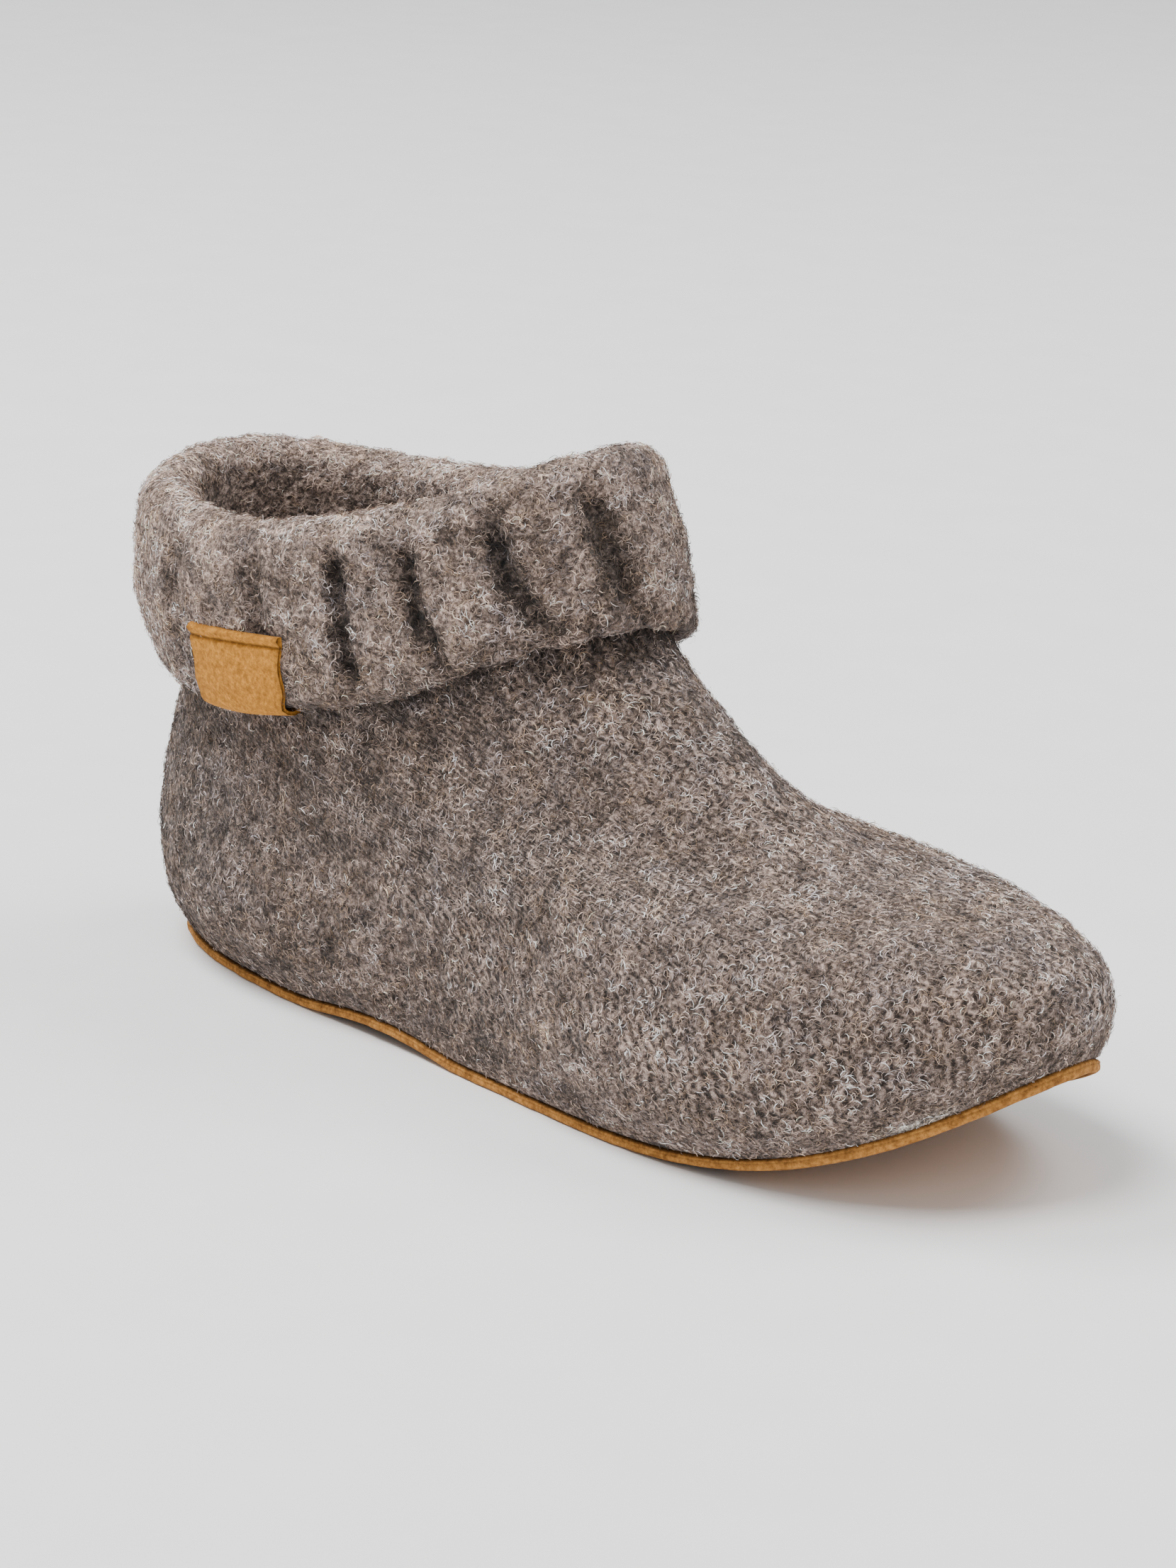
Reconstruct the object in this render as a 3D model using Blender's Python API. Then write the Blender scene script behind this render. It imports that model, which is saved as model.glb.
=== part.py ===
"""Right-foot felted slipper with a turned-down ribbed cuff on a thin suede sole.

X runs from heel to toe, Y to the inner side of the foot, Z up. Sizes are in millimetres
until the meshes are made, when the origin moves under the heel. The upper is a stack of
rings, each an outline seen from above, joined by a smooth curve up every column. Wall,
cuff, insole and tab are offsets of it.
"""

import math
from collections import namedtuple

import bmesh
import bpy
import numpy as np

MM = 0.001

# the slipper
LENGTH = 252.0
HEEL_WIDTH = 66.0
WAIST_OUTER = 31.0
WAIST_INNER = 27.0
BALL_WIDTH = 83.0
COLLAR_BACK = 106.6
COLLAR_FRONT = 128.6
SWING = 9.0
ORIGIN_X = 54.0
COLLAR_SADDLE = 5.7

# felt, sole and clearances
WALL = 4.5
GAP = 0.3
SOLE_THICK = 2.4
SOLE_LIP = 0.8
INSOLE_THICK = 3.5
INSOLE_CLEAR = 0.6
TOE_SPRING = 28.5
SPRING_FROM = 0.62
SPRING_POWER = 2.7
HEEL_SPRING = 1.6
HEEL_SPRING_TO = 0.14
ARCH_RISE = 2.4
ARCH_AT = 0.36
ARCH_HALF = 0.12

# cuff
RIBS = 14
RIB_DEPTH = 3.2
RIB_TOP = 1.0
RIB_FULL = 17.0
RIB_PHASE = 0.92
RIB_EDGE = 0.16
RIB_SLANT = 0.03
COLUMNS_IN_RIB = (0.0, 0.09, 0.26, 0.5, 0.74, 0.91)

# straight part of the flap, down from the collar line
FLAP_TOP = 4.0
FLAP_FOOT = 37.5
HEM = 41.4
HEM_LIFT = 5.2
HEM_LIFT_AT = 0.40
HEM_LIFT_HALF = 0.155

# tab
TAB_TOP = 21.5
TAB_THICK = 1.0
TAB_FROM = 0.139
TAB_TO = 0.213
TAB_SLANT = 0.036

# ends in x as shares of LENGTH, heights in mm, half widths as shares of the heel and ball
Ring = namedtuple("Ring", "name back front z_back z_front spring heel waist ball square")
RINGS = (
    Ring("feather", 0.000, 1.034, 2.7, 2.7, 1.0, 0.94, 2.0, 0.95, 4.2),
    Ring("bulge", -0.014, 1.040, 18.7, 21.5, 0.8, 1.22, 6.4, 1.130, 4.2),
    Ring("side", -0.028, 0.994, 41.0, 53.5, 0.0, 1.13, 5.5, 1.060, 3.4),
    Ring("instep", 0.006, 0.770, 70.0, 64.0, 0.0, 1.07, 4.5, 0.740, 2.6),
    Ring("ankle", 0.008, 0.552, 88.0, 100.5, 0.0, 1.13, 6.0, 0.760, 2.4),
    Ring("collar", 0.012, 0.505, 0.0, 0.0, 0.0, 1.06, 6.0, 0.760, 2.7),
)

# the fold of the cuff: d out from the shaft, s down from the collar line, share of the
# ribs' depth and share of their slant
Fold = namedtuple("Fold", "d s rib slant")
FOLD = (
    Fold(0.7, 2.0, 0.0, 0.0),
    Fold(2.2, 1.4, 0.0, 0.0),
    Fold(3.4, 4.0, 0.0, 0.0),
    Fold(3.2, 15.0, 0.0, 0.0),
    Fold(2.6, 28.0, 0.0, 0.0),
    Fold(2.2, 37.5, 0.0, 0.0),
    Fold(3.0, 40.2, 0.0, 0.0),
    Fold(5.0, 41.4, 0.2, 0.0),
    Fold(7.2, 39.6, 0.6, 0.05),
    Fold(8.6, 34.0, 1.0, 0.20),
    Fold(9.6, 25.0, 1.0, 0.55),
    Fold(10.2, 15.0, 1.0, 0.90),
    Fold(10.0, 6.0, 1.0, 1.0),
    Fold(8.8, -1.0, 0.0, 0.8),
    Fold(5.8, -4.6, 0.0, 0.5),
    Fold(1.6, -5.2, 0.0, 0.25),
    Fold(-2.6, -2.4, 0.0, 0.1),
)

OUTER_ROWS = (0.0, 0.25, 0.6, 1.0, 1.4, 1.8, 2.2, 2.6, 3.0, 3.4, 3.8, 4.2, 4.6)
INNER_ROWS = (4.4, 3.9, 3.4, 2.9, 2.4, 2.0, 1.6, 1.2, 0.8, 0.4, 0.0)

# colour, roughness
Look = namedtuple("Look", "colour rough")
LOOKS = {
    "felt": Look((0.235, 0.195, 0.172), 0.95),
    "footbed_felt": Look((0.150, 0.125, 0.112), 0.95),
    "suede": Look((0.560, 0.305, 0.095), 0.85),
    "tab_suede": Look((0.600, 0.335, 0.110), 0.80),
}


def clear_scene():
    for ob in list(bpy.data.objects):
        bpy.data.objects.remove(ob, do_unlink=True)


def make_material(name):
    look = LOOKS[name]
    mat = bpy.data.materials.new(name)
    mat.use_nodes = True
    shader = mat.node_tree.nodes["Principled BSDF"]
    shader.inputs["Base Color"].default_value = (*look.colour, 1.0)
    shader.inputs["Roughness"].default_value = look.rough
    shader.inputs["Metallic"].default_value = 0.0
    mat.diffuse_color = (*look.colour, 1.0)
    return mat


def make_object(name, verts, faces, material):
    mesh = bpy.data.meshes.new(name)
    points = (np.asarray(verts, float) - (ORIGIN_X, 0.0, 0.0)) * MM
    mesh.from_pydata(points.tolist(), [], faces)
    bm = bmesh.new()
    bm.from_mesh(mesh)
    bmesh.ops.recalc_face_normals(bm, faces=bm.faces)
    if bm.calc_volume(signed=True) < 0.0:
        bmesh.ops.reverse_faces(bm, faces=bm.faces)
    bm.to_mesh(mesh)
    bm.free()
    for poly in mesh.polygons:
        poly.use_smooth = True
    mesh.materials.append(make_material(material))
    ob = bpy.data.objects.new(name, mesh)
    bpy.context.scene.collection.objects.link(ob)
    return ob


def smooth_table(t, xs, ys):
    """Cubic curve through a short table."""
    xs = np.asarray(xs, float)
    ys = np.asarray(ys, float)
    slope = np.gradient(ys, xs)
    i = np.clip(np.searchsorted(xs, t, side="right") - 1, 0, len(xs) - 2)
    step = xs[i + 1] - xs[i]
    u = np.clip((t - xs[i]) / step, 0.0, 1.0)
    rise = (3 - 2 * u) * u * u
    return (
        ys[i] * (1 - rise)
        + ys[i + 1] * rise
        + step * slope[i] * u * (1 - u) ** 2
        - step * slope[i + 1] * u * u * (1 - u)
    )


def spring(t):
    """Height of the sole line: toe and heel turn up, the waist lifts a little."""
    toe = TOE_SPRING * np.clip((t - SPRING_FROM) / (1 - SPRING_FROM), 0.0, 1.0) ** SPRING_POWER
    heel = HEEL_SPRING * np.clip((HEEL_SPRING_TO - t) / HEEL_SPRING_TO, 0.0, 1.0) ** 2
    arch = np.clip(1 - ((t - ARCH_AT) / ARCH_HALF) ** 2, 0.0, 1.0) ** 2
    return toe + heel + ARCH_RISE * arch


def ring_points(ring, theta):
    """One outline at angles theta: 0 at the toe, a quarter turn at the inner side."""
    c = np.cos(theta)
    s = np.sin(theta)
    t = (1 + c) / 2
    x = LENGTH * (ring.back + (ring.front - ring.back) * t)
    heel = HEEL_WIDTH / 2 * ring.heel
    ball = BALL_WIDTH / 2 * ring.ball
    outer_waist = WAIST_OUTER + ring.waist
    inner_waist = WAIST_INNER + ring.waist
    if ring.name in ("ankle", "collar"):
        outer_waist = inner_waist = (heel + ball) / 2
    at = (0.0, 0.18, 0.42, 0.70, 1.0)
    outer = smooth_table(t, at, (heel, heel, outer_waist, ball, ball))
    inner = smooth_table(t, at, (heel, heel, inner_waist, ball, ball))
    share = 0.5 + 0.5 * np.clip(4 * s, -1.0, 1.0)
    half = outer * (1 - share) + inner * share
    end = np.sqrt(np.maximum(0.0, 1 - np.abs(c) ** ring.square))
    y = np.sign(s) * half * end + SWING * np.clip(x / LENGTH, 0.0, 1.1) ** 3
    if ring.name == "collar":
        z = COLLAR_BACK + (COLLAR_FRONT - COLLAR_BACK) * t + COLLAR_SADDLE * np.cos(2 * theta)
    else:
        z = ring.z_back + (ring.z_front - ring.z_back) * t + ring.spring * spring(t)
    return np.stack([x, y, z], axis=-1)


def ring_tangents(points):
    tangents = np.empty_like(points)
    tangents[1:-1] = (points[2:] - points[:-2]) / 2
    tangents[0] = 1.5 * (points[1] - points[0]) - 0.5 * tangents[1]
    tangents[-1] = 1.5 * (points[-1] - points[-2]) - 0.5 * tangents[-2]
    return tangents


def form(theta, v):
    """Outer surface of the upper at angle theta and height v, 0 at the sole, 5 at the collar."""
    theta, v = np.broadcast_arrays(np.asarray(theta, float), np.asarray(v, float))
    points = np.stack([ring_points(r, theta) for r in RINGS])
    tangents = ring_tangents(points)
    k = np.clip(np.floor(v).astype(int), 0, len(RINGS) - 2)
    u = (v - k)[..., None]

    def pick(rows, shift):
        return np.take_along_axis(rows, (k + shift)[None, ..., None], axis=0)[0]

    rise = (3 - 2 * u) * u * u
    return (
        pick(points, 0) * (1 - rise)
        + pick(points, 1) * rise
        + pick(tangents, 0) * u * (1 - u) ** 2
        - pick(tangents, 1) * u * u * (1 - u)
    )


def frame_at(theta, v):
    """Point, outward normal and upward direction on the form."""
    step = 1e-3
    low = np.clip(np.asarray(v, float) - step, 0.0, 5.0)
    high = np.clip(np.asarray(v, float) + step, 0.0, 5.0)
    up = form(theta, high) - form(theta, low)
    around = form(np.asarray(theta) + step, v) - form(np.asarray(theta) - step, v)
    normal = np.cross(around, up)
    normal /= np.linalg.norm(normal, axis=-1, keepdims=True)
    up /= np.linalg.norm(up, axis=-1, keepdims=True)
    return form(theta, v), normal, up


def height_at_depth(theta, depth):
    """v at a distance down the column from the collar line."""
    fine = np.linspace(5.0, 2.6, 97)
    column = form(np.full_like(fine, theta), fine)
    run = np.concatenate([[0.0], np.cumsum(np.linalg.norm(np.diff(column, axis=0), axis=1))])
    return np.interp(depth, run, fine)


def shaft_frame(theta, s):
    """Point, normal and up direction of the shaft, s down from the collar line."""
    v = np.array([height_at_depth(a, max(b, 0.0)) for a, b in zip(theta, s)])
    return frame_at(theta, v)


def fold_point(theta, d, s):
    """Point d out from the shaft; the flap hangs straight over any hollow of the instep."""
    point, normal, up = shaft_frame(theta, s)
    share = (s - FLAP_TOP) / (FLAP_FOOT - FLAP_TOP)
    high = shaft_frame(theta, np.full_like(s, FLAP_TOP))[0]
    low = shaft_frame(theta, np.full_like(s, FLAP_FOOT))[0]
    chord = high + (low - high) * share[:, None]
    hollow = np.maximum(((chord - point) * normal).sum(axis=-1), 0.0)
    bridge = np.where((s > FLAP_TOP) & (s < FLAP_FOOT), hollow, 0.0)
    return point + normal * (d + bridge)[:, None] + up * np.maximum(-s, 0.0)[:, None]


def cuff_turns(count):
    """Angles of evenly spaced stations along the collar, heel seam first, then the outer side."""
    fine = np.linspace(math.pi, 3 * math.pi, 721)
    line = form(fine, np.full_like(fine, 5.0))
    run = np.concatenate([[0.0], np.cumsum(np.linalg.norm(np.diff(line, axis=0), axis=1))])
    return np.interp(np.asarray(count) * run[-1], run, fine)


def rib_groove(share, depth):
    """How deep the dark groove between two ribs is at a share of the way round the cuff."""
    phase = (share * RIBS - RIB_PHASE) % 1.0
    near = np.minimum(phase, 1 - phase)
    across = np.clip(1 - near / RIB_EDGE, 0.0, 1.0)
    down = np.clip((depth - RIB_TOP) / (RIB_FULL - RIB_TOP), 0.0, 1.0)
    return RIB_DEPTH * across * down


def flap_length(share, depth):
    """Share of its full depth the flap keeps where the hem rides up on the outer front."""
    near = np.clip(np.abs(share - HEM_LIFT_AT) / HEM_LIFT_HALF, 0.0, 1.0)
    lift = HEM_LIFT / HEM * np.cos(near * math.pi / 2) ** 2
    return 1 - lift * np.clip((depth - FLAP_TOP) / FLAP_TOP, 0.0, 1.0)


def closed_grid(rows):
    """Faces of a tube whose rows run round and whose last row meets the first."""
    count = len(rows[0])
    verts = [p for row in rows for p in row]
    faces = []
    for i in range(len(rows)):
        a = i * count
        b = ((i + 1) % len(rows)) * count
        for j in range(count):
            k = (j + 1) % count
            faces.append((a + j, a + k, b + k, b + j))
    return verts, faces


def build_upper():
    shares = np.array([(k + RIB_PHASE + c) / RIBS for k in range(RIBS) for c in COLUMNS_IN_RIB])
    theta = cuff_turns(shares % 1.0)
    order = np.argsort(theta)
    theta = theta[order]
    shares = (shares % 1.0)[order]
    rows = [form(theta, np.full_like(theta, v)) for v in OUTER_ROWS]
    for fold in FOLD:
        groove = fold.rib * rib_groove(shares, fold.s)
        slant = fold.slant * RIB_SLANT * np.sin(2 * math.pi * shares)
        turned = cuff_turns(shares + slant)
        rows.append(fold_point(turned, fold.d - groove, fold.s * flap_length(shares, fold.s)))
    rows.append(fold_point(theta, np.full_like(theta, -WALL), np.full_like(theta, 3.0)))
    for v in INNER_ROWS:
        point, normal, _ = frame_at(theta, np.full_like(theta, v))
        inner = point - normal * WALL
        if v == 0.0:
            inner = point - flat_normal(normal) * WALL
        rows.append(inner)
    verts, faces = closed_grid(rows)
    return make_object("upper", verts, faces, "felt")


def flat_normal(normal):
    flat = normal * np.array([1.0, 1.0, 0.0])
    return flat / np.linalg.norm(flat, axis=-1, keepdims=True)


def outline(count, out):
    """Feather line moved out (or in) level, as mirrored pairs of stations along the sole."""
    half = count // 2
    theta = math.pi * np.arange(count) / half
    point, normal, _ = frame_at(theta, np.zeros(count))
    t = (1 + np.cos(theta)) / 2
    moved = point + flat_normal(normal) * out
    return moved, t


def slab(name, count, cells, levels, material):
    """Closed plate: levels are (outset, height above the sole line), bottom to top."""
    rings = []
    for out, lift in levels:
        points, t = outline(count, out)
        points[:, 2] = spring(t) + lift
        rings.append(points)
    verts = [p for ring in rings for p in ring]
    faces = []
    for i in range(len(rings) - 1):
        for j in range(count):
            k = (j + 1) % count
            faces.append((i * count + j, i * count + k, (i + 1) * count + k, (i + 1) * count + j))
    for level in (0, len(rings) - 1):
        cap(verts, faces, level * count, count, cells)
    return make_object(name, verts, faces, material)


def cap(verts, faces, start, count, cells):
    """Fill an outline with strips across it, each strip in equal cells."""
    half = count // 2
    lines = [[start]]
    for j in range(1, half):
        left = start + j
        right = start + count - j
        line = [left]
        for c in range(1, cells):
            verts.append(verts[left] + (verts[right] - verts[left]) * (c / cells))
            line.append(len(verts) - 1)
        line.append(right)
        lines.append(line)
    lines.append([start + half])
    for a, b in zip(lines[:-1], lines[1:]):
        for c in range(cells):
            if len(a) == 1:
                faces.append((a[0], b[c], b[c + 1]))
            elif len(b) == 1:
                faces.append((a[c], a[c + 1], b[0]))
            else:
                faces.append((a[c], a[c + 1], b[c + 1], b[c]))


def build_outsole():
    levels = (
        (SOLE_LIP - 0.8, 0.0),
        (SOLE_LIP, 0.8),
        (SOLE_LIP, SOLE_THICK - 0.5),
        (SOLE_LIP - 0.4, SOLE_THICK),
    )
    return slab("outsole", 64, 4, levels, "suede")


def build_insole():
    base = SOLE_THICK + GAP
    inset = -(WALL + INSOLE_CLEAR)
    levels = (
        (inset, base),
        (inset, base + INSOLE_THICK - 0.8),
        (inset - 0.8, base + INSOLE_THICK),
    )
    return slab("insole", 52, 4, levels, "footbed_felt")


def build_side_tab():
    """Strip folded round the hem: outside of the cuff, under it and a short lip behind."""
    crest = [f for f in FOLD if f.s >= 6.0 and f.d >= 5.0][::-1]
    depth = np.array([f.s for f in crest])
    reach = np.array([f.d for f in crest])

    def face(s):
        return float(np.interp(s, depth[:-1], reach[:-1]))

    near = [(face(s) + 0.4, s) for s in (TAB_TOP, 24.0, 29.0, 34.0, 37.5)]
    near += [(7.5, 40.7), (5.0, HEM + 0.5), (2.6, 41.0), (1.7, 38.6), (1.7, 35.0)]
    path = np.array(near)
    along = np.gradient(path, axis=0)
    along /= np.linalg.norm(along, axis=1, keepdims=True)
    side = np.stack([along[:, 1], -along[:, 0]], axis=1)
    outside = path + side * TAB_THICK
    loop = np.concatenate([path, outside[::-1]])
    columns = 7
    slant = TAB_SLANT * np.clip((HEM - loop[:, 1]) / (HEM - TAB_TOP), 0.0, 1.0)
    verts = []
    for share in np.linspace(TAB_FROM, TAB_TO, columns):
        verts.extend(fold_point(cuff_turns(share + slant), loop[:, 0], loop[:, 1]))
    size = len(loop)
    faces = []
    for i in range(columns - 1):
        for j in range(size):
            k = (j + 1) % size
            faces.append((i * size + j, i * size + k, (i + 1) * size + k, (i + 1) * size + j))
    for start in (0, (columns - 1) * size):
        for j in range(len(path) - 1):
            a = start + j
            b = start + size - 1 - j
            faces.append((a, a + 1, b - 1, b))
    return make_object("side_tab", verts, faces, "tab_suede")


def main():
    clear_scene()
    build_outsole()
    build_insole()
    build_upper()
    build_side_tab()


main()
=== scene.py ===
"""Looks of the knitted slipper: boiled wool with its fibres, suede sole and tab, footbed.

The upper's form repeats the part's own: rings seen from above, joined up every column.
Sizes are in millimetres and become metres when a mesh is made.
"""

import math
from collections import namedtuple

import bpy
import numpy as np
from mathutils import Matrix, Vector


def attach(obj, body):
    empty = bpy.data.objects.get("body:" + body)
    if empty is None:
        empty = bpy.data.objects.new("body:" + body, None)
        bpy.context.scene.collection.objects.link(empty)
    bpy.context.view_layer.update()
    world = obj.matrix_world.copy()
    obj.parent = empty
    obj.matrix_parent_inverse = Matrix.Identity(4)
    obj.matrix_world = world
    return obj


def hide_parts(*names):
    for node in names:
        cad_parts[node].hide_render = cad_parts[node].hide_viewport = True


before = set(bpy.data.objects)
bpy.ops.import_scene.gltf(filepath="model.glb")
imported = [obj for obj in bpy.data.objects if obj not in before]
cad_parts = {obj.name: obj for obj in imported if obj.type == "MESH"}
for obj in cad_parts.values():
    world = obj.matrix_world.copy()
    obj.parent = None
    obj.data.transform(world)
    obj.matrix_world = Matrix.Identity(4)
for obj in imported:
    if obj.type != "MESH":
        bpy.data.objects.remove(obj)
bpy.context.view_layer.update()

MM = 0.001

# The slipper's sizes, as in the part
LENGTH = 252.0
HEEL_WIDTH = 66.0
WAIST_OUTER = 31.0
WAIST_INNER = 27.0
BALL_WIDTH = 83.0
COLLAR_BACK = 106.6
COLLAR_FRONT = 128.6
SWING = 9.0
ORIGIN_X = 54.0
COLLAR_SADDLE = 5.7
WALL = 4.5
SOLE_THICK = 2.4
TOE_SPRING = 28.5
SPRING_FROM = 0.62
SPRING_POWER = 2.7
HEEL_SPRING = 1.6
HEEL_SPRING_TO = 0.14
ARCH_RISE = 2.4
ARCH_AT = 0.36
ARCH_HALF = 0.12
RIBS = 14
RIB_PHASE = 0.92
RIB_SLANT = 0.03
FLAP_TOP = 4.0
FLAP_FOOT = 37.5
HEM = 41.4
HEM_LIFT = 5.2
HEM_LIFT_AT = 0.40
HEM_LIFT_HALF = 0.155
TAB_TOP = 21.5
TAB_FROM = 0.139
TAB_TO = 0.213
TAB_SLANT = 0.036

Ring = namedtuple("Ring", "name back front z_back z_front spring heel waist ball square")
RINGS = (
    Ring("feather", 0.000, 1.034, 2.7, 2.7, 1.0, 0.94, 2.0, 0.95, 4.2),
    Ring("bulge", -0.014, 1.040, 18.7, 21.5, 0.8, 1.22, 6.4, 1.130, 4.2),
    Ring("side", -0.028, 0.994, 41.0, 53.5, 0.0, 1.13, 5.5, 1.060, 3.4),
    Ring("instep", 0.006, 0.770, 70.0, 64.0, 0.0, 1.07, 4.5, 0.740, 2.6),
    Ring("ankle", 0.008, 0.552, 88.0, 100.5, 0.0, 1.13, 6.0, 0.760, 2.4),
    Ring("collar", 0.012, 0.505, 0.0, 0.0, 0.0, 1.06, 6.0, 0.760, 2.7),
)

Fold = namedtuple("Fold", "d s rib slant")
FOLD = (
    Fold(0.0, 3.2, 0.0, 0.0),
    Fold(0.7, 2.0, 0.0, 0.0),
    Fold(2.2, 1.4, 0.0, 0.0),
    Fold(3.4, 4.0, 0.0, 0.0),
    Fold(3.2, 15.0, 0.0, 0.0),
    Fold(2.6, 28.0, 0.0, 0.0),
    Fold(2.2, 37.5, 0.0, 0.0),
    Fold(3.0, 40.2, 0.0, 0.0),
    Fold(5.0, 41.4, 0.2, 0.0),
    Fold(7.2, 39.6, 0.6, 0.05),
    Fold(8.6, 34.0, 1.0, 0.20),
    Fold(9.6, 25.0, 1.0, 0.55),
    Fold(10.2, 15.0, 1.0, 0.90),
    Fold(10.0, 6.0, 1.0, 1.0),
    Fold(8.8, -1.0, 0.0, 0.8),
    Fold(5.8, -4.6, 0.0, 0.5),
    Fold(1.6, -5.2, 0.0, 0.25),
    Fold(-2.6, -2.4, 0.0, 0.1),
    Fold(-4.5, 3.0, 0.0, 0.0),
)

# Grooves of the cuff: half widths of the groove and its dark band in ribs, the rest in mm
GROOVE_HALF = 0.145
GROOVE_SHADE = 0.235
GROOVE_TOP = -3.5
GROOVE_FULL = 5.0
GROOVE_END = 40.0
GROOVE_DEPTH = 3.0
GROOVE_EDGE = 1.7
# Darkening of the grooves: painted shade in the recess of the core, darker wool with painted shade
# across the band
GROOVE_CORE_SHADE = 0.26
GROOVE_BAND_WOOL_AND_SHADE = 0.54

# Blotches, felted stitches and slanting strokes of the wool: sizes in mm, STROKE_LEAN in
# radians, STITCH_LEAN in stitches
BLOTCH_HEIGHT = 0.42
BLOTCH_TONE = 0.50
STITCH_HEIGHT = 0.34
STITCH_ROW = 2.3
STITCH_LONG = 2.9
STITCH_LEAN = 0.55
STROKE_LEAN = 0.5
STROKE_LONG = 3.8
STROKE_WIDE = 1.05

# Trace of glue at the toe, as shares of the way round, and the reach of the hem's painted shadow,
# in v
GLUE_AT = 0.437
GLUE_HALF = 0.011
HEM_SHADE = 0.11

# Colours of the wool and of single fibres
CUFF_TONE = np.array([0.372, 0.279, 0.232])
FOOT_TONE = np.array([0.205, 0.154, 0.129])
INSIDE_TONE = np.array([0.335, 0.257, 0.217])
GLUE_TONE = np.array([0.66, 0.62, 0.56])
# Painted highlight on the top of the cuff's rolled rim
RIM_PAINTED_HIGHLIGHT = 0.20
# Painted shadow under the cuff's hem: how much darker it is at the hem
HEM_PAINTED_SHADOW = 0.55
# Painted shade: the felt under the fibres darker, as the shade between them
FELT_BASE_SHADE = 0.7
FIBRE_BRIGHT = 0.90
FIBRE_DARKEST = 0.012
FIBRE_PALEST = 0.82

# The wool's grid: rows of the foot, of the fold (its hem and its outer face) and inside
COLUMNS = 480
FOOT_ROWS = 78
FOLD_ROWS = 84
INNER_ROWS = 40
HEM_ROW = 34
FACE_ROWS = (39, 72)
FACE_SMOOTHING = 4
FOOT, FOLDED, INSIDE = 0, 1, 2

# The tab's strip; its ridge and dent lie so far below its top edge
TAB_WIDTH = 22.0
TAB_COLUMNS = 90
TAB_FACE_ROWS = 44
TAB_GAP = 0.4
TAB_RIDGE = 1.0
TAB_DENT = 2.9

# The sole's edge, stouter at the toe, and the footbed
TOE_STOUT = 0.35
TOE_STOUT_FROM = 0.78
TOE_STOUT_OVER = 0.12
SOLE_COUNT = 640
SOLE_RIPPLE = 0.22
BED_COUNT = 300
BED_SIDE_GAP = 0.6
BED_GAP = 0.3


# Form
def smooth_table(t, xs, ys):
    """Smooth curve through the points xs, ys, read at t."""
    xs = np.asarray(xs, float)
    ys = np.asarray(ys, float)
    slope = np.gradient(ys, xs)
    i = np.clip(np.searchsorted(xs, t, side="right") - 1, 0, len(xs) - 2)
    step = xs[i + 1] - xs[i]
    u = np.clip((t - xs[i]) / step, 0.0, 1.0)
    rise = (3 - 2 * u) * u * u
    bend = step * slope[i] * u * (1 - u) ** 2 - step * slope[i + 1] * u * u * (1 - u)
    return ys[i] * (1 - rise) + ys[i + 1] * rise + bend


def spring(t):
    """Height of the sole line above the floor at a share t of the length."""
    toe = TOE_SPRING * np.clip((t - SPRING_FROM) / (1 - SPRING_FROM), 0.0, 1.0) ** SPRING_POWER
    heel = HEEL_SPRING * np.clip((HEEL_SPRING_TO - t) / HEEL_SPRING_TO, 0.0, 1.0) ** 2
    arch = np.clip(1 - ((t - ARCH_AT) / ARCH_HALF) ** 2, 0.0, 1.0) ** 2
    return toe + heel + ARCH_RISE * arch


def ring_points(ring, theta):
    """One ring of the form; theta is 0 at the toe and pi at the heel."""
    c = np.cos(theta)
    s = np.sin(theta)
    t = (1 + c) / 2
    x = LENGTH * (ring.back + (ring.front - ring.back) * t)
    heel = HEEL_WIDTH / 2 * ring.heel
    ball = BALL_WIDTH / 2 * ring.ball
    outer_waist = WAIST_OUTER + ring.waist
    inner_waist = WAIST_INNER + ring.waist
    if ring.name in ("ankle", "collar"):
        outer_waist = inner_waist = (heel + ball) / 2
    at = (0.0, 0.18, 0.42, 0.70, 1.0)
    outer = smooth_table(t, at, (heel, heel, outer_waist, ball, ball))
    inner = smooth_table(t, at, (heel, heel, inner_waist, ball, ball))
    share = 0.5 + 0.5 * np.clip(4 * s, -1.0, 1.0)
    half = outer * (1 - share) + inner * share
    end = np.sqrt(np.maximum(0.0, 1 - np.abs(c) ** ring.square))
    y = np.sign(s) * half * end + SWING * np.clip(x / LENGTH, 0.0, 1.1) ** 3
    if ring.name == "collar":
        z = COLLAR_BACK + (COLLAR_FRONT - COLLAR_BACK) * t + COLLAR_SADDLE * np.cos(2 * theta)
    else:
        z = ring.z_back + (ring.z_front - ring.z_back) * t + ring.spring * spring(t)
    return np.stack([x - ORIGIN_X, y, z], axis=-1)


def form(theta, v):
    """Outer surface of the upper; v runs from 0 at the sole to 5 at the collar."""
    theta, v = np.broadcast_arrays(np.asarray(theta, float), np.asarray(v, float))
    points = np.stack([ring_points(r, theta) for r in RINGS])
    tangents = np.empty_like(points)
    tangents[1:-1] = (points[2:] - points[:-2]) / 2
    tangents[0] = 1.5 * (points[1] - points[0]) - 0.5 * tangents[1]
    tangents[-1] = 1.5 * (points[-1] - points[-2]) - 0.5 * tangents[-2]
    k = np.clip(np.floor(v).astype(int), 0, len(RINGS) - 2)
    u = (v - k)[..., None]

    def pick(rows, shift):
        return np.take_along_axis(rows, (k + shift)[None, ..., None], axis=0)[0]

    rise = (3 - 2 * u) * u * u
    bend = pick(tangents, 0) * u * (1 - u) ** 2 - pick(tangents, 1) * u * u * (1 - u)
    return pick(points, 0) * (1 - rise) + pick(points, 1) * rise + bend


def unit(v):
    return v / np.maximum(np.linalg.norm(v, axis=-1, keepdims=True), 1e-12)


def flat_normal(normal):
    """The normal seen from above."""
    return unit(normal * np.array([1.0, 1.0, 0.0]))


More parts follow.
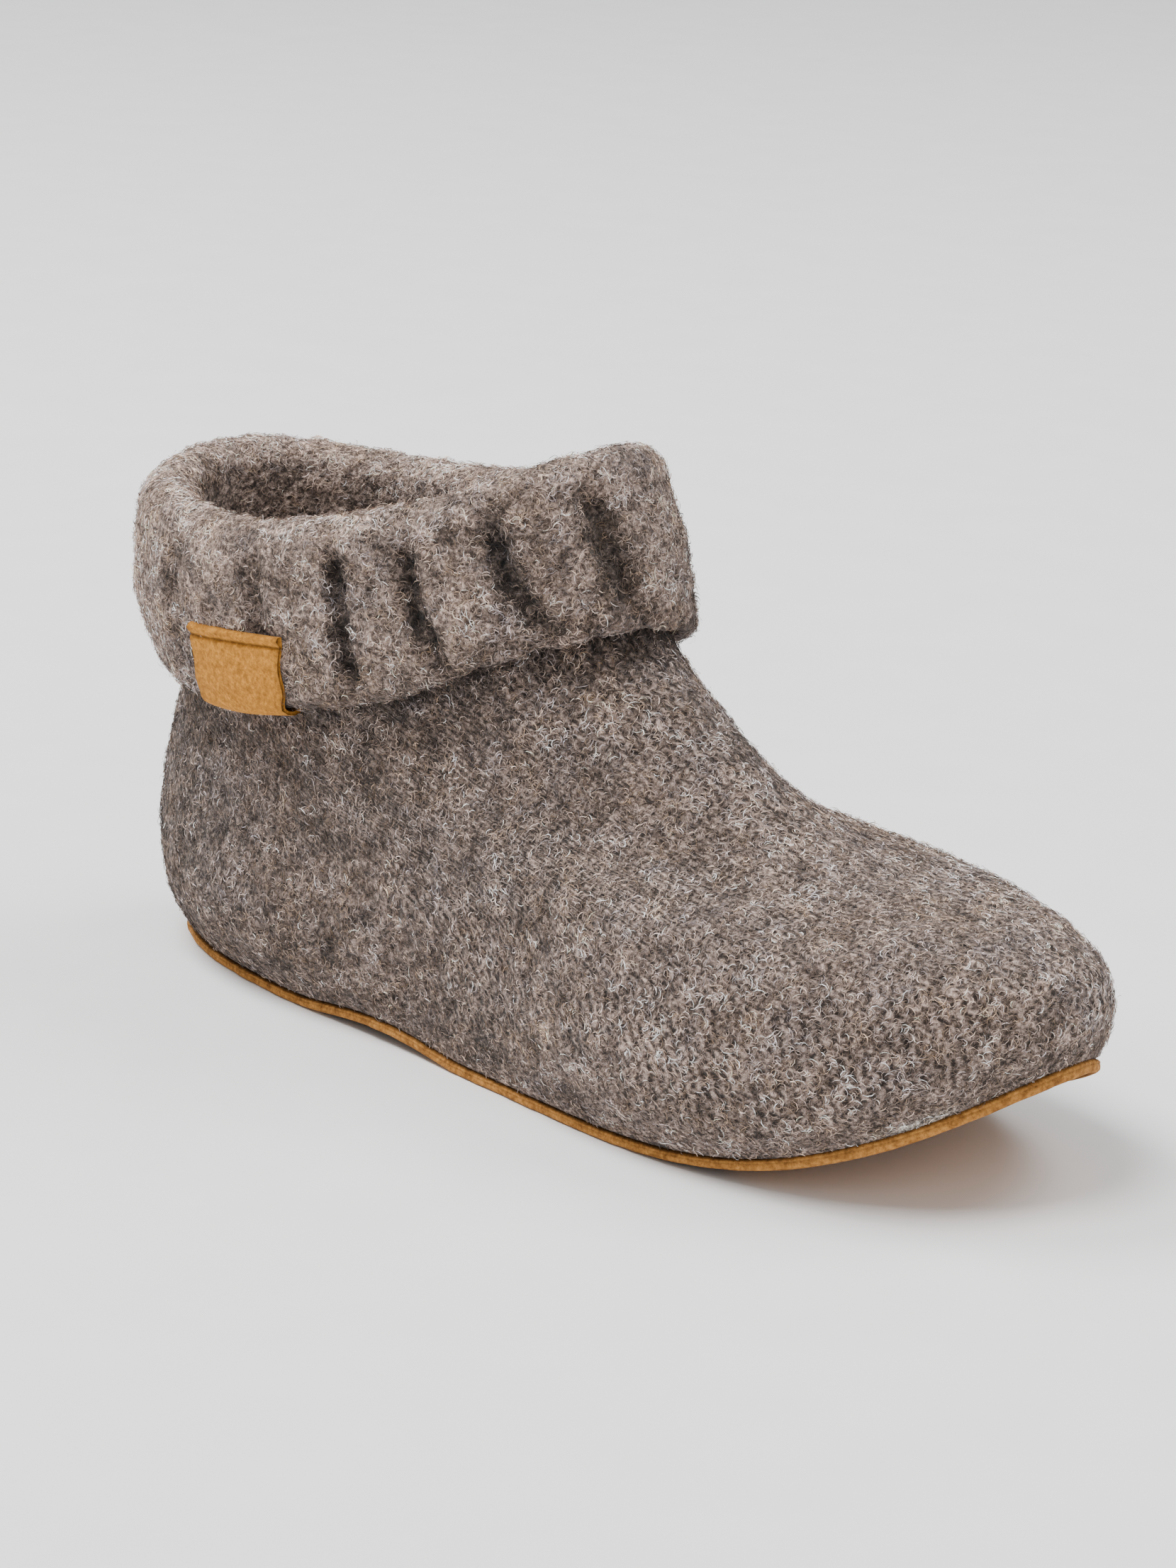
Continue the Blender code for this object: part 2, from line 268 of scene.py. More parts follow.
def frame_at(theta, v):
    """Point, outward normal and upward direction of the form."""
    step = 1e-3
    v = np.asarray(v, float)
    up = form(theta, np.clip(v + step, 0, 5)) - form(theta, np.clip(v - step, 0, 5))
    around = form(theta + step, v) - form(theta - step, v)
    return form(theta, v), unit(np.cross(around, up)), unit(up)


def heights_at_depth(theta, depth):
    """v at a distance down each column from the collar line; both arrays have one shape."""
    fine = np.linspace(5.0, 2.4, 60)
    columns = form(theta[..., None], np.broadcast_to(fine, theta.shape + fine.shape))
    steps = np.linalg.norm(np.diff(columns, axis=-2), axis=-1)
    run = np.concatenate([np.zeros(theta.shape + (1,)), np.cumsum(steps, axis=-1)], axis=-1)
    flat = [np.interp(d, r, fine) for d, r in zip(depth.ravel(), run.reshape(-1, len(fine)))]
    return np.array(flat).reshape(theta.shape)


def fold_point(theta, d, s):
    """Point d out from the shaft, s down from the collar line; the flap bridges hollows."""
    s = np.broadcast_to(s, theta.shape).astype(float)
    point, normal, up = frame_at(theta, heights_at_depth(theta, np.maximum(s, 0.0)))
    high = form(theta, heights_at_depth(theta, np.full(theta.shape, FLAP_TOP)))
    low = form(theta, heights_at_depth(theta, np.full(theta.shape, FLAP_FOOT)))
    share = (s - FLAP_TOP) / (FLAP_FOOT - FLAP_TOP)
    chord = high + (low - high) * share[..., None]
    hollow = np.maximum(((chord - point) * normal).sum(axis=-1), 0.0)
    bridge = np.where((s > FLAP_TOP) & (s < FLAP_FOOT), hollow, 0.0)
    return point + normal * (d + bridge)[..., None] + up * np.maximum(-s, 0.0)[..., None]


TURN_FINE = np.linspace(math.pi, 3 * math.pi, 721)
TURN_LINE = form(TURN_FINE, np.full_like(TURN_FINE, 5.0))
TURN_RUN = np.concatenate([[0], np.cumsum(np.linalg.norm(np.diff(TURN_LINE, axis=0), axis=1))])


def cuff_turns(share):
    """Angle at a share of the way round the collar, from the back by the outer side."""
    share = np.asarray(share, float)
    whole = np.floor(share)
    inside = np.interp((share - whole) * TURN_RUN[-1], TURN_RUN, TURN_FINE)
    return inside + 2 * math.pi * whole


def flap_length(share, depth):
    """How long the flap is there, next to its full length: the hem lifts on the outer side."""
    near = np.clip(np.abs(share - HEM_LIFT_AT) / HEM_LIFT_HALF, 0.0, 1.0)
    lift = HEM_LIFT / HEM * np.cos(near * math.pi / 2) ** 2
    return 1 - lift * np.clip((depth - FLAP_TOP) / FLAP_TOP, 0.0, 1.0)


# Helpers
def soft_noise(points, size, seed):
    """Smooth value noise in -1..1 at points (mm), with lumps of a given size."""
    table = np.random.default_rng(seed).uniform(-1, 1, (32, 32, 32))
    p = np.asarray(points, float) / size + 1000.0
    i = np.floor(p).astype(int)
    f = p - i
    f = f * f * (3 - 2 * f)
    total = 0.0
    for dx in (0, 1):
        for dy in (0, 1):
            for dz in (0, 1):
                weight = (
                    (f[..., 0] if dx else 1 - f[..., 0])
                    * (f[..., 1] if dy else 1 - f[..., 1])
                    * (f[..., 2] if dz else 1 - f[..., 2])
                )
                corner = table[
                    (i[..., 0] + dx) % 32, (i[..., 1] + dy) % 32, (i[..., 2] + dz) % 32
                ]
                total = total + weight * corner
    return total


def new_mesh(name, verts, faces, material, smooth=True, colours=None, places=None):
    """Mesh object from arrays; faces is an int array with 3 or 4 columns, or several."""
    groups = faces if isinstance(faces, list) else [faces]
    groups = [np.asarray(g, np.int32) for g in groups if len(g)]
    mesh = bpy.data.meshes.new(name)
    mesh.vertices.add(len(verts))
    mesh.vertices.foreach_set("co", (np.asarray(verts, np.float32) * MM).ravel())
    loops = np.concatenate([g.ravel() for g in groups])
    totals = np.concatenate([np.full(len(g), g.shape[1], np.int32) for g in groups])
    starts = np.concatenate([[0], np.cumsum(totals)[:-1]]).astype(np.int32)
    mesh.loops.add(len(loops))
    mesh.loops.foreach_set("vertex_index", loops)
    mesh.polygons.add(len(totals))
    mesh.polygons.foreach_set("loop_start", starts)
    mesh.polygons.foreach_set("loop_total", totals)
    mesh.polygons.foreach_set("use_smooth", np.full(len(totals), smooth))
    mesh.update(calc_edges=True)
    if colours is not None:
        layer = mesh.color_attributes.new("wool", "FLOAT_COLOR", "POINT")
        layer.data.foreach_set("color", np.asarray(colours, np.float32).ravel())
    if places is not None:
        layer = mesh.uv_layers.new(name="knit")
        layer.uv.foreach_set("vector", np.asarray(places, np.float32).ravel())
    mesh.validate()
    mesh.materials.append(material)
    ob = bpy.data.objects.new(name, mesh)
    bpy.context.scene.collection.objects.link(ob)
    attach(ob, "root")
    return ob


def ring_quads(rows, columns, closed_rows):
    """Faces of rows by columns points that run round; the rows may close up as well."""
    last = rows if closed_rows else rows - 1
    i, j = np.meshgrid(np.arange(last), np.arange(columns), indexing="ij")
    a = i * columns + j
    b = i * columns + (j + 1) % columns
    c = ((i + 1) % rows) * columns + (j + 1) % columns
    d = ((i + 1) % rows) * columns + j
    return np.stack([a, b, c, d], axis=-1).reshape(-1, 4)


# Materials
def nodes_of(name):
    """A new material with its node tree and shader."""
    mat = bpy.data.materials.new(name)
    mat.use_nodes = True
    tree = mat.node_tree
    return mat, tree, tree.nodes["Principled BSDF"]


def add_noise(tree, vector, scale, detail=3.0, rough=0.6):
    node = tree.nodes.new("ShaderNodeTexNoise")
    node.inputs["Scale"].default_value = scale
    node.inputs["Detail"].default_value = detail
    node.inputs["Roughness"].default_value = rough
    tree.links.new(vector, node.inputs["Vector"])
    return node


def add_ramp(tree, factor, stops):
    node = tree.nodes.new("ShaderNodeValToRGB")
    while len(node.color_ramp.elements) < len(stops):
        node.color_ramp.elements.new(0.5)
    for element, (place, colour) in zip(node.color_ramp.elements, stops):
        element.position = place
        element.color = (*colour, 1.0)
    tree.links.new(factor, node.inputs["Fac"])
    return node


def add_mix(tree, mode, factor, a, b):
    node = tree.nodes.new("ShaderNodeMix")
    node.data_type = "RGBA"
    node.blend_type = mode
    node.inputs["Factor"].default_value = factor
    tree.links.new(a, node.inputs["A"])
    tree.links.new(b, node.inputs["B"])
    return node.outputs["Result"]


def add_bump(tree, height, strength, distance, normal=None):
    node = tree.nodes.new("ShaderNodeBump")
    node.inputs["Strength"].default_value = strength
    node.inputs["Distance"].default_value = distance
    tree.links.new(height, node.inputs["Height"])
    if normal is not None:
        tree.links.new(normal, node.inputs["Normal"])
    return node.outputs["Normal"]


def add_math(tree, operation, a, b=None):
    node = tree.nodes.new("ShaderNodeMath")
    node.operation = operation
    for socket, value in zip(node.inputs, (a, b)):
        if isinstance(value, (int, float)):
            socket.default_value = value
        elif value is not None:
            tree.links.new(value, socket)
    return node.outputs["Value"]


def add_tone(tree):
    """The mesh's own shades: their colour, and in alpha how clearly the stitches show."""
    node = tree.nodes.new("ShaderNodeVertexColor")
    node.layer_name = "wool"
    return node


def add_knit_place(tree):
    """Millimetres along the knit, from the mesh's own layer."""
    node = tree.nodes.new("ShaderNodeUVMap")
    node.uv_map = "knit"
    return node.outputs["UV"]


def add_object_place(tree):
    return tree.nodes.new("ShaderNodeTexCoord").outputs["Object"]


def stitch_height(tree, amount, wobble):
    """Felted stitches in rows along the foot, each row of slanting dashes, -1 to 1."""
    place = add_knit_place(tree)
    split = tree.nodes.new("ShaderNodeSeparateXYZ")
    tree.links.new(place, split.inputs["Vector"])
    shift = add_math(tree, "MULTIPLY", wobble, 1.2)
    row = add_math(tree, "DIVIDE", split.outputs["Y"], STITCH_ROW)
    row = add_math(tree, "ADD", row, shift)
    part = add_math(tree, "FRACT", row)
    turn = add_math(tree, "PINGPONG", row, 1.0)
    dash = add_math(tree, "DIVIDE", split.outputs["X"], STITCH_LONG)
    dash = add_math(tree, "ADD", dash, shift)
    dash = add_math(tree, "ADD", dash, add_math(tree, "MULTIPLY", turn, STITCH_LEAN))
    wave = add_math(tree, "COSINE", add_math(tree, "MULTIPLY", dash, 2 * math.pi))
    arch = add_math(tree, "SINE", add_math(tree, "MULTIPLY", part, math.pi))
    return add_math(tree, "MULTIPLY", add_math(tree, "MULTIPLY", wave, arch), amount)


def slanted_place(tree):
    """Knit place in lengths and widths of the wool's slanting clumps."""
    place = add_knit_place(tree)
    turn = tree.nodes.new("ShaderNodeMapping")
    turn.vector_type = "TEXTURE"
    turn.inputs["Rotation"].default_value = (0.0, 0.0, STROKE_LEAN)
    turn.inputs["Scale"].default_value = (STROKE_LONG, STROKE_WIDE, 1.0)
    tree.links.new(place, turn.inputs["Vector"])
    return turn.outputs["Vector"]


def felt_material():
    """Base of the boiled wool: painted tone, flecks, felted stitches with painted light on their
    crests and painted shade between, and a crumbly bump.
    """
    mat, tree, shader = nodes_of("felt")
    place = add_object_place(tree)
    tone = add_tone(tree)
    wobble = add_noise(tree, place, 160.0, 2.0, 0.5).outputs["Fac"]
    stitch = stitch_height(tree, tone.outputs["Alpha"], wobble)
    fleck = add_noise(tree, place, 900.0, 4.0, 0.72).outputs["Fac"]
    clump = add_noise(tree, slanted_place(tree), 1.0, 2.0, 0.5).outputs["Fac"]
    clump = add_math(tree, "MULTIPLY", add_math(tree, "SUBTRACT", clump, 0.5), 0.4)
    # Painted light and shade of the stitches: lighter on their crests, darker between them
    mixed = add_math(tree, "ADD", fleck, add_math(tree, "MULTIPLY", stitch, 0.16))
    mixed = add_math(tree, "ADD", mixed, clump)
    flecks = add_ramp(
        tree,
        mixed,
        [
            (0.36, (0.16, 0.15, 0.15)),
            (0.47, (0.60, 0.57, 0.55)),
            (0.55, (1.25, 1.22, 1.20)),
            (0.66, (2.7, 2.7, 2.75)),
        ],
    )
    colour = add_mix(tree, "MULTIPLY", 1.0, tone.outputs["Color"], flecks.outputs["Color"])
    tree.links.new(colour, shader.inputs["Base Color"])
    crumb = add_noise(tree, place, 620.0, 4.0, 0.7).outputs["Fac"]
    low = add_bump(tree, stitch, 0.7, 0.0005)
    tree.links.new(add_bump(tree, crumb, 1.0, 0.0011, low), shader.inputs["Normal"])
    shader.inputs["Roughness"].default_value = 0.95
    shader.inputs["Specular IOR Level"].default_value = 0.1
    shader.inputs["Sheen Weight"].default_value = 0.12
    shader.inputs["Sheen Roughness"].default_value = 0.6
    return mat


def fibre_material():
    """Single wool fibres, each in its own tone."""
    mat, tree, shader = nodes_of("wool_fibre")
    place = add_object_place(tree)
    tone = add_tone(tree)
    fleck = add_noise(tree, place, 1100.0, 2.0, 0.6)
    flecks = add_ramp(
        tree, fleck.outputs["Fac"], [(0.35, (0.62, 0.61, 0.60)), (0.65, (1.3, 1.3, 1.3))]
    )
    colour = add_mix(tree, "MULTIPLY", 1.0, tone.outputs["Color"], flecks.outputs["Color"])
    tree.links.new(colour, shader.inputs["Base Color"])
    shader.inputs["Roughness"].default_value = 0.75
    shader.inputs["Specular IOR Level"].default_value = 0.2
    return mat


# light and dark nap, scales of nap and clouds, and whether the mesh's shades show
Suede = namedtuple("Suede", "light dark scale cloud painted")
SUEDES = {
    "suede": Suede((0.54, 0.250, 0.062), (0.26, 0.112, 0.026), 900.0, 324.0, True),
    "tab_suede": Suede((0.64, 0.284, 0.046), (0.40, 0.165, 0.025), 1300.0, 676.0, True),
    "footbed_felt": Suede((0.30, 0.245, 0.21), (0.14, 0.112, 0.096), 700.0, 196.0, False),
}


def suede_material(name):
    """Short nap in two tones under soft clouds."""
    suede = SUEDES[name]
    mat, tree, shader = nodes_of(name)
    place = add_object_place(tree)
    nap = add_noise(tree, place, suede.scale, 5.0, 0.7)
    cloud = add_noise(tree, place, suede.cloud, 3.0, 0.6)
    fine = add_ramp(tree, nap.outputs["Fac"], [(0.36, suede.dark), (0.62, suede.light)])
    soft = add_ramp(
        tree, cloud.outputs["Fac"], [(0.34, (0.70, 0.66, 0.62)), (0.66, (1.15, 1.15, 1.15))]
    )
    colour = add_mix(tree, "MULTIPLY", 1.0, fine.outputs["Color"], soft.outputs["Color"])
    if suede.painted:
        colour = add_mix(tree, "MULTIPLY", 1.0, colour, add_tone(tree).outputs["Color"])
    tree.links.new(colour, shader.inputs["Base Color"])
    tree.links.new(add_bump(tree, nap.outputs["Fac"], 0.8, 0.0004), shader.inputs["Normal"])
    shader.inputs["Roughness"].default_value = 0.88
    shader.inputs["Specular IOR Level"].default_value = 0.15
    return mat


def plain_material(name, colour, rough):
    """Matt paint with the faintest clouds."""
    mat, tree, shader = nodes_of(name)
    place = add_object_place(tree)
    cloud = add_noise(tree, place, 40.0, 2.0, 0.5)
    low = tuple(c * 0.97 for c in colour)
    shade = add_ramp(tree, cloud.outputs["Fac"], [(0.3, low), (0.7, colour)])
    tree.links.new(shade.outputs["Color"], shader.inputs["Base Color"])
    shader.inputs["Roughness"].default_value = rough
    return mat


# The upper
def fold_rows(count):
    """The cuff's profile as a smooth run of count rows: columns d, s, rib, slant."""
    table = np.array(FOLD, float)
    run = np.concatenate([[0], np.cumsum(np.linalg.norm(np.diff(table[:, :2], axis=0), axis=1))])
    at = np.linspace(0, run[-1], count)
    return np.stack([smooth_table(at, run, column) for column in table.T], axis=1)


# Grooves from the back round by the outer side: strength, lean (how far on round the cuff
# it gets from hem to rim) and shift back, both in ribs
Groove = namedtuple("Groove", "strength lean shift")
GROOVES = np.array(
    (
        Groove(0.60, 0.0, 0.0),
        Groove(0.45, 0.0, 0.0),
        Groove(0.65, 0.0, 0.0),
        Groove(0.95, 0.14, 0.0),
        Groove(1.00, -0.24, 0.0),
        Groove(1.00, -0.50, 0.0),
        Groove(0.85, -0.25, 0.16),
        Groove(0.65, 0.1, 0.0),
        Groove(0.90, 0.2, 0.0),
        Groove(0.75, 0.1, 0.0),
        Groove(0.90, -0.1, 0.0),
        Groove(0.80, 0.0, 0.0),
        Groove(0.70, 0.1, 0.0),
        Groove(0.80, 0.0, 0.0),
    )
)


def groove_at(share, depth, rib):
    """Groove between two ribs, ragged in its course: its depth and its darkening, painted shade in
    the recess over darker wool in a wider band.
    """
    turn = 2 * math.pi * share
    place = np.stack([60 * np.cos(turn), 60 * np.sin(turn), np.full_like(share, depth)], -1)
    wander = 0.024 * soft_noise(place, 7.0, 41) + 0.030 * soft_noise(place, 2.2, 42)
    count = share * RIBS - RIB_PHASE
    number = np.round(count).astype(int)
    strength, lean, shift = GROOVES[number % RIBS].T
    near = np.abs(count - number + wander + shift + lean * (depth / HEM - 0.5))
    ragged = 1.8 * soft_noise(place, 3.0, 43)
    down = np.clip((depth + ragged - GROOVE_TOP) / (GROOVE_FULL - GROOVE_TOP), 0.0, 1.0)
    down = down * down * (3 - 2 * down)
    foot = np.clip((GROOVE_END - depth) / 8.0, 0.0, 1.0)
    strength = strength * down * (0.3 + 0.7 * foot) * math.sqrt(min(max(rib, 0.0), 1.0))
    parts = []
    for half in (GROOVE_HALF, GROOVE_SHADE):
        across = np.clip(GROOVE_EDGE - GROOVE_EDGE * near / half, 0.0, 1.0)
        parts.append(across * across * (3 - 2 * across) * strength)
    core, band = parts
    fleck = 1.0 + 0.35 * soft_noise(place, 1.5, 44)
    # Darker wool across the band with painted shade, and painted shade in the recess
    return core, (GROOVE_BAND_WOOL_AND_SHADE * band + GROOVE_CORE_SHADE * core) * fleck


def upper_grid():
    """The whole wool surface as one closed grid of rows that run round.

    A row's depth is v in the foot and inside, and mm down from the collar in the fold.
    """
    share = np.arange(COLUMNS) / COLUMNS
    theta = cuff_turns(share)
    rows, depths, zones, grooves = [], [], [], []
    top_v = heights_at_depth(theta, np.full(COLUMNS, FOLD[0].s + 0.8))
    for k in range(FOOT_ROWS):
        v = k / (FOOT_ROWS - 1) * top_v
        rows.append(form(theta, v))
        zones.append(np.full(COLUMNS, FOOT))
        depths.append(v)
        grooves.append(np.zeros(COLUMNS))
    fold_from = len(rows)
    for d, s, rib, slant in fold_rows(FOLD_ROWS):
        turned = cuff_turns(share + slant * RIB_SLANT * np.sin(2 * math.pi * share))
        groove, dark = groove_at(share, s, rib)
        at = s * flap_length(share, s)
        rows.append(fold_point(turned, d - GROOVE_DEPTH * groove, at))
        zones.append(np.full(COLUMNS, FOLDED))
        depths.append(np.full(COLUMNS, s))
        grooves.append(dark)
    fold_to = len(rows)
    low_v = heights_at_depth(theta, np.full(COLUMNS, FOLD[-1].s + 2.0))
    for k in range(INNER_ROWS):
        v = low_v * (1 - k / (INNER_ROWS - 1))
        point, normal, _ = frame_at(theta, v)
        if k == INNER_ROWS - 1:
            normal = flat_normal(normal)
        rows.append(point - normal * WALL)
        zones.append(np.full(COLUMNS, INSIDE))
        depths.append(v)
        grooves.append(np.zeros(COLUMNS))
    points = np.array(rows)
    face = slice(fold_from + FACE_ROWS[0], fold_from + FACE_ROWS[1])
    for _ in range(FACE_SMOOTHING):
        points[face] = (np.roll(points, 1, 0) + 2 * points + np.roll(points, -1, 0))[face] / 4
    return points, np.array(zones), np.array(depths), np.array(grooves), (fold_from, fold_to)


def grid_normals(points):
    """Outward normal and upward direction at every point of the grid."""
    around = np.roll(points, -1, 1) - np.roll(points, 1, 1)
    along = np.roll(points, -1, 0) - np.roll(points, 1, 0)
    return unit(np.cross(around, along)), unit(along)


Crease = namedtuple("Crease", "share_a v_a share_b v_b width depth")
CREASES = (
    Crease(0.08, 3.35, 0.27, 3.05, 9.0, -0.9),
    Crease(0.36, 3.30, 0.49, 3.20, 8.0, -0.8),
    Crease(0.53, 3.20, 0.66, 3.30, 8.0, -0.8),
    Crease(0.22, 0.90, 0.30, 2.10, 15.0, -1.3),
    Crease(0.72, 0.90, 0.79, 2.20, 15.0, -1.2),
    Crease(0.34, 1.70, 0.44, 2.45, 10.0, -0.7),
    Crease(0.40, 1.20, 0.47, 1.90, 9.0, 0.6),
    Crease(0.03, 1.50, 0.14, 1.25, 10.0, 0.7),
    Crease(0.90, 1.30, 0.97, 1.60, 10.0, 0.6),
)


def creased(points, normals, fold_from):
    """Listed troughs (depth below 0) and ridges of the soft foot part."""
    move = np.zeros(points.shape[:2])
    for crease in CREASES:
        ends = cuff_turns(np.linspace(crease.share_a, crease.share_b, 12))
        line = form(ends, np.linspace(crease.v_a, crease.v_b, 12))
        near = np.full(points.shape[:2], 1e9)
        for spot in line:
            near = np.minimum(near, ((points - spot) ** 2).sum(-1))
        move += crease.depth * np.exp(-near / crease.width**2)
    move[fold_from:] = 0
    return points + normals * move[..., None]


def blotches(points):
    """Tufts a few millimetres wide: light where they stand up, dark where they sink, partly the
    wool's own tone and partly painted light and shade.
    """
    return (
        0.75 * soft_noise(points, 2.0, 61)
        + 0.65 * soft_noise(points, 3.6, 62)
        + 0.35 * soft_noise(points, 7.5, 63)
    )


def roughen(points, zones, fold_from):
    """Creases, soft lumps and raised tufts of the wool."""
    normals, _ = grid_normals(points)
    edge = np.clip((points[..., 2] - points[..., 2].min(axis=0)) / 8.0, 0.0, 1.0)
    points = creased(points, normals * edge[..., None], fold_from)
    lumps = 0.30 * soft_noise(points, 3.4, 11) + 0.35 * soft_noise(points, 9.0, 12)
    lumps += 0.6 * soft_noise(points, 30.0, 13)
    lumps = (lumps + BLOTCH_HEIGHT * blotches(points)) * np.where(zones == INSIDE, 0.5, 1.0)
    return points + normals * (lumps * edge)[..., None]


def hem_height(share):
    """Height v of the shaft just behind the cuff's hem."""
    return heights_at_depth(cuff_turns(share), HEM * flap_length(share, np.full_like(share, HEM)))


def open_wool(zones, depths, fold):
    """One where the wool lies open, zero where the tab or the cuff covers it."""
    share = np.arange(COLUMNS) / COLUMNS
    rows = np.arange(len(zones))[:, None] * np.ones(COLUMNS)
    behind = (zones == FOOT) & (depths > hem_height(share) + 0.15)
    behind |= (zones == FOLDED) & (rows < fold[0] + HEM_ROW - 1)
    slant = TAB_SLANT * np.clip((HEM - depths) / (HEM - TAB_TOP), 0.0, 1.0)
    rib = np.interp(depths, (15.0, 39.0), (0.9, 0.05)) * RIB_SLANT * np.sin(2 * math.pi * share)
    place = share + rib - slant
    under = (zones == FOLDED) & (depths > TAB_TOP) & (place > TAB_FROM) & (place < TAB_TO)
    return np.where(under | behind, 0.0, 1.0)


def knit_place(points):
    """Millimetres round each row from the toe, and up each column."""
    step = np.linalg.norm(np.roll(points, -1, 1) - points, axis=-1)
    along = np.concatenate([np.zeros((len(points), 1)), np.cumsum(step, axis=1)], axis=1)
    along = along - along[:, COLUMNS // 2][:, None]
    rise = np.linalg.norm(np.diff(points, axis=0), axis=-1)
    height = np.concatenate([np.zeros((1, points.shape[1])), np.cumsum(rise, axis=0)])
    return along, height


def stitch_share(points, fold_from):
    """How clearly the stitches show: most over instep and toe, hardly on the cuff."""
    rows = np.arange(len(points))[:, None]
    x = points[..., 0]
    amount = 0.4 + 0.6 * np.clip((x - 20.0) / 60.0, 0.0, 1.0)
    amount = amount * np.clip((rows - 4) / 10.0, 0.0, 1.0)
    amount = amount * (0.75 + 0.45 * soft_noise(points, 14.0, 23))
    return np.where(rows < fold_from, np.clip(amount, 0.0, 1.0), 0.12)


def wool_tone(points, zones, depths, grooves, fold):
    """Colour under the fibres: paler cuff and inside, grooves of darker wool and painted shade,
    painted shadow under the hem, painted highlight on the rim, painted light along foot and cuff,
    blotches, trace of glue.
    """
    lo, hi = fold
    rows = np.arange(len(points))[:, None] * np.ones(points.shape[1])
    weight = np.clip((rows - lo - HEM_ROW) / 6.0, 0, 1) * np.clip((hi + 6 - rows) / 12.0, 0, 1)
    inner = np.clip((rows - hi + 8) / 8.0, 0, 1)
    # Painted light: the foot darker towards the heel and lighter towards the toe, as the light
    # falls on it
    painted_light_ahead = np.clip((points[..., 0] - 40.0) / 100.0, -1.0, 1.0)
    foot = FOOT_TONE * (1.02 + 0.25 * painted_light_ahead)[..., None]
    # Painted highlight along the top of the rolled rim
    rim = np.where(zones == FOLDED, RIM_PAINTED_HIGHLIGHT * np.exp(-(((depths + 3.0) / 4.5) ** 2)), 0.0)
    # Painted light: the cuff lighter towards the heel end and darker towards the toe, as the light
    # falls on it
    front = np.clip(points[..., 0] / 60.0, -1.0, 1.0)
    cuff = CUFF_TONE * (1 + rim - 0.16 * front)[..., None]
    tone = foot + (cuff - foot) * weight[..., None]
    tone = tone + (INSIDE_TONE - tone) * inner[..., None]
    patch = 1 + 0.09 * soft_noise(points, 9.0, 21) + 0.05 * soft_noise(points, 28.0, 22)
    share = np.arange(points.shape[1]) / points.shape[1]
    # Painted shadow under the hem: on the shaft just below it, and on the flap's hidden underside
    # up to the hem row
    below = np.exp(np.minimum(depths - hem_height(share), 0.0) / HEM_SHADE)
    flap_underside_shadow = np.where(rows < hi, np.clip((lo + HEM_ROW - rows) / 6.0, 0.0, 1.0), 0.0)
    under = np.where(zones == FOOT, below, flap_underside_shadow)
    # Random patches, the grooves' darkening and the painted shadow under the hem
    shade = patch * (1 - np.clip(grooves, 0, 1)) * (1 - HEM_PAINTED_SHADOW * under)
    # Blotches: the wool's own tufts of tone, with painted light on the raised ones and painted
    # shade in the sunk ones
    tone = tone * (shade * np.exp(BLOTCH_TONE * blotches(points)))[..., None]
    trace = np.exp(-(((share - GLUE_AT) / GLUE_HALF) ** 2)) * np.clip((3.2 - rows) / 1.5, 0.0, 1.0)
    trace = trace * np.clip(0.9 + 0.8 * soft_noise(points, 2.5, 24), 0.0, 1.0)
    return tone + (GLUE_TONE - tone) * trace[..., None]


# Fibres
Lay = namedtuple("Lay", "length width lift loft curl spread vary")
Wool = namedtuple("Wool", "points normals ups tones along height knit bare")


def dash_wave(along, height):
    """The stitches' wave at a place, as in the wool's material, and which way its row leans."""
    row = height / STITCH_ROW
    part = row % 1.0
    turn = 1 - np.abs(row % 2.0 - 1)
    dash = along / STITCH_LONG + turn * STITCH_LEAN
    return np.cos(2 * math.pi * dash) * np.sin(math.pi * part), np.where(row % 2.0 < 1, 1, -1)


def strokes(along, height, seed):
    """Noise of long slanting clumps, as the felted stitches pull the wool."""
    run = along * math.cos(STROKE_LEAN) + height * math.sin(STROKE_LEAN)
    rise = height * math.cos(STROKE_LEAN) - along * math.sin(STROKE_LEAN)
    place = np.stack([run / STROKE_LONG, rise / STROKE_WIDE, 0 * run], axis=-1)
    return soft_noise(place, 1.0, seed)


